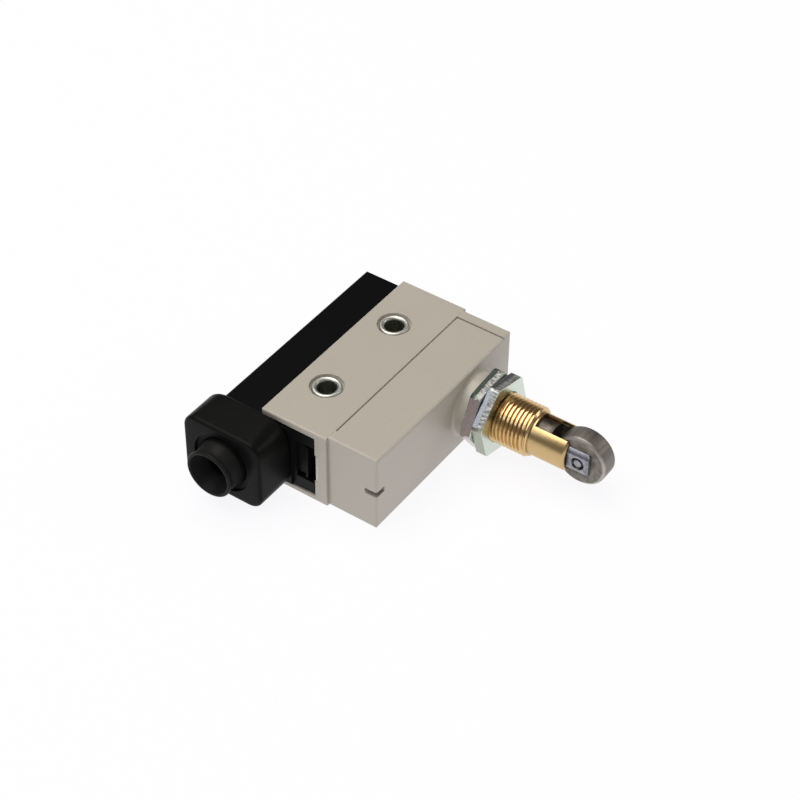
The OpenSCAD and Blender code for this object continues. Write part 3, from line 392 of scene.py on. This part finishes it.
# Patented spring wire, drawn through a die: grey with a dull drawing film
spring_steel, shader, place = new_finish("spring_wire_drawn")
film = add(spring_steel, "TexNoise", {"Vector": place, "Scale": per_mm(0.6), "Detail": 4})
tone = add(spring_steel, "Mix", {
    0: film.outputs[0], 6: linear("#8E9094"), 7: linear("#B4B6BA")}, data_type="RGBA")
rough = add(spring_steel, "MapRange", {"Value": film.outputs[0], 3: 0.2, 4: 0.4})
wire(spring_steel, shader, {"Base Color": tone.outputs[2], "Metallic": 1, "Roughness": rough.outputs[0]})

# Phenolic moulding compound with wood flour: dark brown, speckled with paler fibres
base_phenolic, shader, place = new_finish("phenolic_wood_filled")
fibres = add(base_phenolic, "TexNoise", {
    "Vector": place, "Scale": per_mm(0.7), "Detail": 5, "Roughness": 0.7})
pale = add(base_phenolic, "MapRange", {"Value": fibres.outputs[0], 1: 0.45, 2: 0.75})
tone = add(base_phenolic, "Mix", {
    0: pale.outputs[0], 6: linear("#2B1D15"), 7: linear("#5A4230")}, data_type="RGBA")
dents = add(base_phenolic, "Bump", {"Height": fibres.outputs[0], "Strength": 0.2, "Distance": 0.03 * MM})
wire(base_phenolic, shader, {
    "Base Color": tone.outputs[2], "Roughness": 0.45, "Normal": dents.outputs[0], "IOR": 1.6})

# Acetal, moulded glossy: red, a little cloudy under a smooth skin
button_plastic, shader, place = new_finish("acetal_red_moulded")
clouds = add(button_plastic, "TexNoise", {"Vector": place, "Scale": per_mm(1.5), "Detail": 2})
tone = add(button_plastic, "Mix", {
    0: clouds.outputs[0], 6: linear("#A82E26"), 7: linear("#BE3A30")}, data_type="RGBA")
rough = add(button_plastic, "MapRange", {"Value": clouds.outputs[0], 3: 0.25, 4: 0.38})
wire(button_plastic, shader, {"Base Color": tone.outputs[2], "Roughness": rough.outputs[0], "IOR": 1.48})

# Beryllium copper strip, rolled: reddish gold with rolling lines along the blade
blade_copper, shader, place = new_finish("beryllium_copper_rolled")
stretch = add(blade_copper, "Mapping", {"Vector": place, "Scale": (1, 0.04, 1)})
lines = add(blade_copper, "TexNoise", {"Vector": stretch.outputs[0], "Scale": per_mm(0.25), "Detail": 3})
tone = add(blade_copper, "Mix", {
    0: lines.outputs[0], 6: linear("#C07F4C"), 7: linear("#DDA772")}, data_type="RGBA")
rough = add(blade_copper, "MapRange", {"Value": lines.outputs[0], 3: 0.18, 4: 0.34})
wire(blade_copper, shader, {"Base Color": tone.outputs[2], "Metallic": 1, "Roughness": rough.outputs[0]})

# Fine silver, headed into rivets: white and bright, with a breath of tarnish
contact_silver, shader, place = new_finish("fine_silver_headed")
tarnish = add(contact_silver, "TexNoise", {"Vector": place, "Scale": per_mm(0.8), "Detail": 4})
tone = add(contact_silver, "Mix", {
    0: tarnish.outputs[0], 6: linear("#D9D4C8"), 7: linear("#F2F0EA")}, data_type="RGBA")
rough = add(contact_silver, "MapRange", {"Value": tarnish.outputs[0], 3: 0.14, 4: 0.34})
wire(contact_silver, shader, {"Base Color": tone.outputs[2], "Metallic": 1, "Roughness": rough.outputs[0]})

# Brass strip, stamped and bent: yellow, with rolling lines and a dull film from the press oil
terminal_brass, shader, place = new_finish("brass_strip_stamped")
stretch = add(terminal_brass, "Mapping", {"Vector": place, "Scale": (0.06, 1, 1)})
lines = add(terminal_brass, "TexNoise", {"Vector": stretch.outputs[0], "Scale": per_mm(0.3), "Detail": 3})
film = add(terminal_brass, "TexNoise", {"Vector": place, "Scale": per_mm(3), "Detail": 3})
tone = add(terminal_brass, "Mix", {
    0: film.outputs[0], 6: linear("#B88E4C"), 7: linear("#DDBA78")}, data_type="RGBA")
rough = add(terminal_brass, "MapRange", {"Value": lines.outputs[0], 3: 0.2, 4: 0.42})
wire(terminal_brass, shader, {"Base Color": tone.outputs[2], "Metallic": 1, "Roughness": rough.outputs[0]})

# Small screws, headed and zinc plated: pale grey with a crystalline frost
screw_steel, shader, place = new_finish("zinc_plated_steel_headed")
frost = add(screw_steel, "TexVoronoi", {"Vector": place, "Scale": per_mm(0.4)})
tone = add(screw_steel, "Mix", {
    0: frost.outputs["Distance"], 6: linear("#B8BCBE"), 7: linear("#D6D8D6")}, data_type="RGBA")
rough = add(screw_steel, "MapRange", {"Value": frost.outputs["Distance"], 3: 0.22, 4: 0.4})
wire(screw_steel, shader, {"Base Color": tone.outputs[2], "Metallic": 1, "Roughness": rough.outputs[0]})

FINISHES = {
    "case_plastic": case_plastic, "black_plastic": black_plastic, "gland_rubber": gland_rubber,
    "seal_rubber": seal_rubber, "eyelet_steel": eyelet_steel, "bushing_brass": bushing_brass,
    "nut_steel": nut_steel, "plunger_steel": plunger_steel, "roller_steel": roller_steel,
    "spring_steel": spring_steel, "base_phenolic": base_phenolic, "button_plastic": button_plastic,
    "blade_copper": blade_copper, "contact_silver": contact_silver, "terminal_brass": terminal_brass,
    "screw_steel": screw_steel,
}

for node, solid in frame["nodes"].items():
    for holder in solid.material_slots:
        holder.material = FINISHES[SLOT_OF[node]]


# Ways of making pieces

AXIS = Vector((0, AXIS_Y, MID_Z))
ALONG_X, ALONG_Y, ALONG_Z = (1, 0, 0), (0, 1, 0), (0, 0, 1)
MERGE, TOUCH = 0.0005, 0.001
LEVEL_TO, SHARP_FROM = math.radians(0.5), math.radians(40)
BROAD = 0.3


def stand_for(node, bm, name, smooth_to=35, broad=math.inf):
    """Makes the mesh a piece that shows in place of the node, with the node's body and finish. It is shaded
    smooth up to an angle, and flat on faces that have more millimetres of area per perimeter than `broad`, or
    lie level beside one."""
    for f in bm.faces:
        f.smooth = True
    for e in bm.edges:
        e.smooth = e.calc_face_angle(0) < math.radians(smooth_to)
    for f in [f for f in bm.faces if f.calc_area() > broad * MM * f.calc_perimeter()]:
        beside = [g for e in f.edges for g in e.link_faces if g.normal.angle(f.normal, 0) < LEVEL_TO]
        for e in {e for g in beside for e in g.edges}:
            e.smooth = False
    mesh = bpy.data.meshes.new(name)
    bm.to_mesh(mesh)
    bm.free()
    mesh.materials.append(FINISHES[SLOT_OF[node]])
    made = bpy.data.objects.new(name, mesh)
    scene.collection.objects.link(made)
    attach(made, BODY_OF[node])
    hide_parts(node)
    return made


def copy_of(node):
    """The node's solid as a mesh to work on, without doubles."""
    bm = bmesh.new()
    bm.from_mesh(frame["nodes"][node].data)
    bmesh.ops.remove_doubles(bm, verts=bm.verts, dist=MERGE * MM)
    return bm


def close(bm):
    """Merges doubles and turns the faces outwards."""
    bmesh.ops.remove_doubles(bm, verts=bm.verts, dist=MERGE * MM)
    bmesh.ops.recalc_face_normals(bm, faces=bm.faces)


def sharp_edges(bm):
    """Edges where two faces meet at a sharp angle."""
    return [e for e in bm.edges if e.calc_face_angle(0) > SHARP_FROM]


def round_edges(bm, edges, width):
    """Rounds the edges off by that many millimetres."""
    bmesh.ops.bevel(
        bm, geom=edges, offset=width * MM, offset_type="OFFSET", affect="EDGES", segments=2, profile=0.5,
        material=-1, clamp_overlap=True)


def soften(node, name, width=0):
    """Copy of a node's solid with even broad faces, and sharp edges rounded off by that many millimetres."""
    bm = copy_of(node)
    bmesh.ops.dissolve_limit(bm, angle_limit=LEVEL_TO, verts=bm.verts, edges=bm.edges)
    if width:
        round_edges(bm, sharp_edges(bm), width)
    stand_for(node, bm, name, broad=BROAD)


def wind(node, name):
    """Copy of a spring's solid, shaded smooth, with a mesh of its own."""
    bm = copy_of(node)
    bmesh.ops.recalc_face_normals(bm, faces=bm.faces)
    made = stand_for(node, bm, name, smooth_to=60)
    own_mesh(made)


def string(bm, points):
    """Strings points, in mm, together, and returns the corners and edges."""
    verts = [bm.verts.new(Vector(point) * MM) for point in points]
    return verts + [bm.edges.new(pair) for pair in zip(verts, verts[1:])]


def turn(bm, section, centre, axis, steps=96):
    """Turns a half section of (along, radius) points, in mm, all the way round an axis."""
    centre, axis = Vector(centre), Vector(axis)
    out = axis.orthogonal().normalized()
    geom = string(bm, [centre + axis * along + out * far for along, far in section])
    bmesh.ops.spin(bm, geom=geom, cent=centre * MM, axis=axis, angle=math.tau, steps=steps, use_merge=True)


def loop_at(bm, along):
    """Open edges that lie across the X axis at that many millimetres."""
    here = {v for v in bm.verts if abs(v.co.x - along * MM) < TOUCH * MM}
    return [e for e in bm.edges if e.is_boundary and here.issuperset(e.verts)]


def draw_out(bm, edges, along, far):
    """Extrudes a ring around the plunger axis to another place and radius, and returns the new ring."""
    made = bmesh.ops.extrude_edge_only(bm, edges=edges)["geom"]
    middle = AXIS * MM
    for v in (g for g in made if isinstance(g, bmesh.types.BMVert)):
        out = Vector((0, v.co.y - middle.y, v.co.z - middle.z)).normalized()
        v.co = middle + out * far * MM + Vector((along * MM, 0, 0))
    return [g for g in made if isinstance(g, bmesh.types.BMEdge) and g.is_boundary]


def block(lo, hi):
    """A block between two corners, in mm."""
    bm = bmesh.new()
    lo, hi = Vector(lo) * MM, Vector(hi) * MM
    spread = Matrix.Diagonal((*(hi - lo), 1))
    bmesh.ops.create_cube(bm, size=1, matrix=Matrix.Translation((lo + hi) / 2) @ spread)
    return bm


def carve(bm, tool):
    """Cuts the closed shape of the second mesh out of the first, and returns what is left."""
    solids = []
    for shape in (bm, tool):
        mesh = bpy.data.meshes.new("carving")
        shape.to_mesh(mesh)
        shape.free()
        solids.append(bpy.data.objects.new("carving", mesh))
        scene.collection.objects.link(solids[-1])
    cut = solids[0].modifiers.new("cut", "BOOLEAN")
    cut.object = solids[1]
    cut.operation = "DIFFERENCE"
    cut.solver = "EXACT"
    left = bmesh.new()
    left.from_object(solids[0], bpy.context.evaluated_depsgraph_get())
    for solid in solids:
        bpy.data.meshes.remove(solid.data)
    return left


def oblong(bm, centre, width, height, corner, steps):
    """A ring of edges across Y, in mm, whose rounded corners have that many points each."""
    verts = [
        bm.verts.new(Vector((centre[0] + x * width / 2, centre[1], centre[2] + z * height / 2)) * MM)
        for x, z in ((-1, -1), (1, -1), (1, 1), (-1, 1))]
    bm.faces.new(verts)
    made = bmesh.ops.bevel(
        bm, geom=verts, offset=corner * MM, offset_type="OFFSET", affect="VERTICES", segments=steps - 1,
        profile=0.5, material=-1)
    rim = {e for v in made["verts"] for e in v.link_edges}
    bmesh.ops.delete(bm, geom=[f for v in made["verts"][:1] for f in v.link_faces], context="FACES_ONLY")
    return list(rim)


def swept(round_by, steps):
    """How far in, and how far along, a quarter round goes."""
    angles = [math.pi / 2 * i / steps for i in range(steps + 1)]
    return [(round_by * (1 - math.sin(a)), round_by * (1 - math.cos(a))) for a in angles]


# Floor and light

FLOOR_HALF = 3000
sheet = bpy.data.meshes.new("sheet_floor")
bm = bmesh.new()
bmesh.ops.create_grid(bm, x_segments=1, y_segments=1, size=FLOOR_HALF * MM)
bm.to_mesh(sheet)
bm.free()
floor = bpy.data.objects.new("sheet_floor", sheet)
scene.collection.objects.link(floor)

# White background sheet, lit from behind: even and dull, with fibres and shadows that hardly show
sheet_white, shader, place = new_finish("background_sheet_backlit")
fibres = add(sheet_white, "TexNoise", {"Vector": place, "Scale": per_mm(3), "Detail": 3})
tone = add(sheet_white, "Mix", {
    0: fibres.outputs[0], 6: linear("#5C5C5C"), 7: linear("#626262")}, data_type="RGBA")
wire(sheet_white, shader, {
    "Base Color": tone.outputs[2], "Roughness": 0.9, "Specular IOR Level": 0.1,
    "Emission Color": linear("#FEFDFF"), "Emission Strength": 0.91})
sheet.materials.append(sheet_white)

scene.world = bpy.data.worlds.new("studio")
scene.world.use_nodes = True
sky = scene.world.node_tree.nodes["Background"]
sky.inputs["Color"].default_value = (1, 1, 1, 1)
sky.inputs["Strength"].default_value = 0.16


def softbox(name, at, size, power, colour):
    """A rectangular soft light that faces the switch, with its place and size in metres."""
    glow = bpy.data.lights.new(name, "AREA")
    glow.shape = "RECTANGLE"
    glow.size, glow.size_y = size
    glow.energy = power
    glow.color = linear(colour)[:3]
    lamp = bpy.data.objects.new(name, glow)
    facing = (Vector(at) - TARGET).to_track_quat("Z", "Y").to_matrix().to_4x4()
    lamp.matrix_world = Matrix.Translation(at) @ facing
    scene.collection.objects.link(lamp)


softbox("overhead_softbox", (-0.3, -0.12, 1.2), (1.4, 0.9), 13.1, "#FFFAF4")
softbox("left_softbox", (-0.42, -0.63, 0.6), (0.3, 0.22), 0.5, "#E4ECFF")
softbox("right_softbox", (0.9, -0.2, 0.4), (0.6, 0.6), 0.25, "#FFF1E8")
softbox("rear_softbox", (0.6, 0.55, 0.38), (0.3, 0.3), 0.8, "#FFFDF8")
scene.view_settings.view_transform = "Standard"


# Pieces

# Bushing: M12 x 1 thread cut as a helix, chamfered at its ends, then the smooth sleeve with the roller's slot
PITCH, CREST, ROOT, THREAD_CHAMFER = 1.0, 5.98, 5.4, 0.55
THREAD_FROM, LEAD_IN, TURN_STEPS = 20.8, 1.5, 80
SLEEVE_TO, SLEEVE_R, SLEEVE_CHAMFER, SLEEVE_EDGE = 49.5, 5.0, 0.5, 0.12
BORE_FROM, BORE_R, TAIL_HOLE_R = 20.2, 4.05, 2.25
FLANGE_FROM, FLANGE_TO, FLANGE_R, NECK_R = 19.0, 20.6, 7.1, 5.43
SLOT_FROM, SLOT_TO, SLOT_HALF, SLOT_HALF_Z = 40.7, 52, 2.55, 8
ridge = [(0, ROOT), (0.13, ROOT), (0.41, CREST), (0.59, CREST), (0.87, ROOT), (1, ROOT)]
bm = bmesh.new()
geom = string(bm, [(THREAD_FROM - LEAD_IN + along, AXIS_Y, MID_Z + far) for along, far in ridge])
turns = round((THREAD_TO - THREAD_FROM + 2 * LEAD_IN) / PITCH)
bmesh.ops.spin(
    bm, geom=geom, cent=AXIS * MM, axis=ALONG_X, dvec=(PITCH * MM / TURN_STEPS, 0, 0),
    angle=math.tau * turns, steps=TURN_STEPS * turns)
bmesh.ops.remove_doubles(bm, verts=bm.verts, dist=MERGE * MM)
for end, way in ((THREAD_FROM, -1), (THREAD_TO, 1)):
    bmesh.ops.bisect_plane(
        bm, geom=bm.verts[:] + bm.edges[:] + bm.faces[:], dist=1e-9, plane_co=(end * MM, 0, 0),
        plane_no=(way, 0, 0), clear_outer=True)
for v in bm.verts:
    out = Vector((0, v.co.y - AXIS_Y * MM, v.co.z - MID_Z * MM))
    to_end = min(v.co.x / MM - THREAD_FROM, THREAD_TO - v.co.x / MM)
    most = (CREST - THREAD_CHAMFER + to_end) * MM
    if out.length > most:
        v.co -= out.normalized() * (out.length - most)
ring = loop_at(bm, THREAD_TO)
for along, far in (
        (THREAD_TO, SLEEVE_R), (SLEEVE_TO - SLEEVE_CHAMFER, SLEEVE_R), (SLEEVE_TO, SLEEVE_R - SLEEVE_CHAMFER),
        (SLEEVE_TO, BORE_R), (BORE_FROM, BORE_R), (BORE_FROM, TAIL_HOLE_R), (FLANGE_FROM, TAIL_HOLE_R),
        (FLANGE_FROM, FLANGE_R), (FLANGE_TO, FLANGE_R), (FLANGE_TO, NECK_R)):
    ring = draw_out(bm, ring, along, far)
bmesh.ops.bridge_loops(bm, edges=ring + loop_at(bm, THREAD_FROM))
close(bm)
slot = block(
    (SLOT_FROM, AXIS_Y - SLOT_HALF, MID_Z - SLOT_HALF_Z), (SLOT_TO, AXIS_Y + SLOT_HALF, MID_Z + SLOT_HALF_Z))
bm = carve(bm, slot)
close(bm)
past_thread = [e for e in sharp_edges(bm) if min(v.co.x for v in e.verts) > (THREAD_TO + 0.1) * MM]
round_edges(bm, past_thread, SLEEVE_EDGE)
stand_for("bushing", bm, "turned_bushing")

# Nuts, fork and pin: the solids, with the edges of nuts and pin broken
soften("inner_nut", "punched_inner_nut", width=0.16)
soften("outer_nut", "punched_outer_nut", width=0.16)
soften("plunger", "forked_plunger")
soften("roller_pin", "staked_pin", width=0.1)

# Springs: copies of the solids on meshes of their own. In the switch the return spring closes by the whole
# travel, the other one by what the push rod doesn't take
wind("return_spring", "wound_return_spring")
wind("overtravel_spring", "wound_overtravel_spring")

# Roller: rounded chamfers between the tread and both faces
TREAD_R, ROLLER_HALF, PIN_HOLE_R = 6.35, 2.4, 1.25
half = [
    (1.7, TREAD_R), (1.86, 6.33), (1.98, 6.26), (2.37, 5.82), (ROLLER_HALF, 5.72), (ROLLER_HALF, PIN_HOLE_R)]
mirrored = [(-along, far) for along, far in reversed(half)]
bm = bmesh.new()
turn(bm, [*mirrored, *half, mirrored[0]], (ROLLER_X, AXIS_Y, MID_Z), ALONG_Y)
close(bm)
stand_for("roller", bm, "turned_roller", smooth_to=25)

# Eyelets: a tube whose two ends are flared and rolled outwards
TUBE_TO, TUBE_R, LIP_R = 19.1, 2.6, 2.95
FLARE_ALONG, FLARE_OUT, CURL_FROM, CURL_R = 0.8, 0.75, 19.35, 0.55
quarter = [math.pi / 2 * i / 8 for i in range(9)]
flare = [(TUBE_TO + FLARE_ALONG * math.sin(a), LIP_R - FLARE_OUT * math.cos(a)) for a in quarter]
curl = [(CURL_FROM + CURL_R * math.cos(a), LIP_R + CURL_R * math.sin(a)) for a in quarter[1:]]
top = [*flare, *curl, (19.2, 3.46), (TUBE_TO, 3.35), (TUBE_TO, TUBE_R)]
low = [(2 * MID_Z - along, far) for along, far in reversed(top)]
bm = bmesh.new()
for hole in ("near_hole", "far_hole"):
    turn(bm, [*top, *low, top[0]], (0, MOUNT_AT[hole][1] / MM, 0), ALONG_Z, steps=64)
close(bm)
stand_for("mounting_eyelets", bm, "rolled_eyelets", smooth_to=50)

# Gland: a collar that is lofted between rounded oblongs, and a turned nipple that stands in its moat
GLAND_X = MOUNT_AT["cable_entry"][0] / MM
ROOT_Y, ROOT_WIDTH, ROOT_HEIGHT, ROOT_CORNER = -27.2, 22.4, 19.4, 5.9
TIP_WIDTH, TIP_HEIGHT, TIP_CORNER = 20.8, 18.4, 3.5
COLLAR_ROUND, ROUND_STEPS, CORNER_STEPS = 0.8, 5, 24
RIM_Y, BEAD_R, BEAD_FROM_AXIS = -41.35, 0.45, 5.45
CABLE_R, BARB_Y, NECK_Y, GROOVE_R = 3.2, -25, -23.8, 4.8
root_round = [
    (ROOT_Y - along, ROOT_WIDTH - 2 * inset, ROOT_HEIGHT - 2 * inset, ROOT_CORNER - inset)
    for inset, along in swept(COLLAR_ROUND, ROUND_STEPS)]
taper = [
    (ROOT_Y - COLLAR_ROUND + (COLLAR_TIP_Y - ROOT_Y + 2 * COLLAR_ROUND) * share,
     ROOT_WIDTH + (TIP_WIDTH - ROOT_WIDTH) * share, ROOT_HEIGHT + (TIP_HEIGHT - ROOT_HEIGHT) * share,
     ROOT_CORNER + (TIP_CORNER - ROOT_CORNER) * share)
    for share in (0.04, 0.5, 0.96)]
tip_round = [
    (COLLAR_TIP_Y + along, TIP_WIDTH - 2 * inset, TIP_HEIGHT - 2 * inset, TIP_CORNER - inset)
    for inset, along in reversed(swept(COLLAR_ROUND, ROUND_STEPS))]
bm = bmesh.new()
rings = [
    oblong(bm, (GLAND_X, along, MID_Z), width, height, corner, CORNER_STEPS)
    for along, width, height, corner in root_round + taper + tip_round]
for first, second in zip(rings, rings[1:]):
    bmesh.ops.bridge_loops(bm, edges=first + second)
moat = [(0, 7.8), (0, 7.6), (0.05, 7.5), (0.9, 7.45), (1, 7.3), (1, 6.25), (0.85, 6.1), (0, 6.02)]
bead = [math.radians(a) for a in range(-50, 181, 23)]
section = [(COLLAR_TIP_Y + along, far) for along, far in moat]
section += [(-39.5, 5.6), (-40.4, 5.44), (-40.7, 5.5)]
section += [(RIM_Y - BEAD_R * math.sin(a), BEAD_FROM_AXIS + BEAD_R * math.cos(a)) for a in bead]
section += [
    (RIM_Y + 0.1, 4.98), (-37.95, 3.25), (-37.75, CABLE_R), (NECK_Y, CABLE_R), (NECK_Y, 5.0), (BARB_Y, 5.5),
    (BARB_Y, GROOVE_R), (ROOT_Y, GROOVE_R)]
turn(bm, section, (GLAND_X, 0, MID_Z), ALONG_Y, steps=4 * CORNER_STEPS)
halfway = (ROOT_Y + COLLAR_TIP_Y) / 2 * MM
open_edges = [e for e in bm.edges if e.is_boundary]
front = [e for e in open_edges if e.verts[0].co.y < halfway]
rear = [e for e in open_edges if e.verts[0].co.y > halfway]
bmesh.ops.bridge_loops(bm, edges=front)
bmesh.ops.bridge_loops(bm, edges=rear)
close(bm)
stand_for("cable_gland", bm, "pressed_gland", smooth_to=50)

# Mouldings: the solids, whose outer edges are round already, with the case's openings broken too
soften("case", "moulded_case", width=0.12)
soften("head", "moulded_head")
soften("terminal_cover", "moulded_cover")
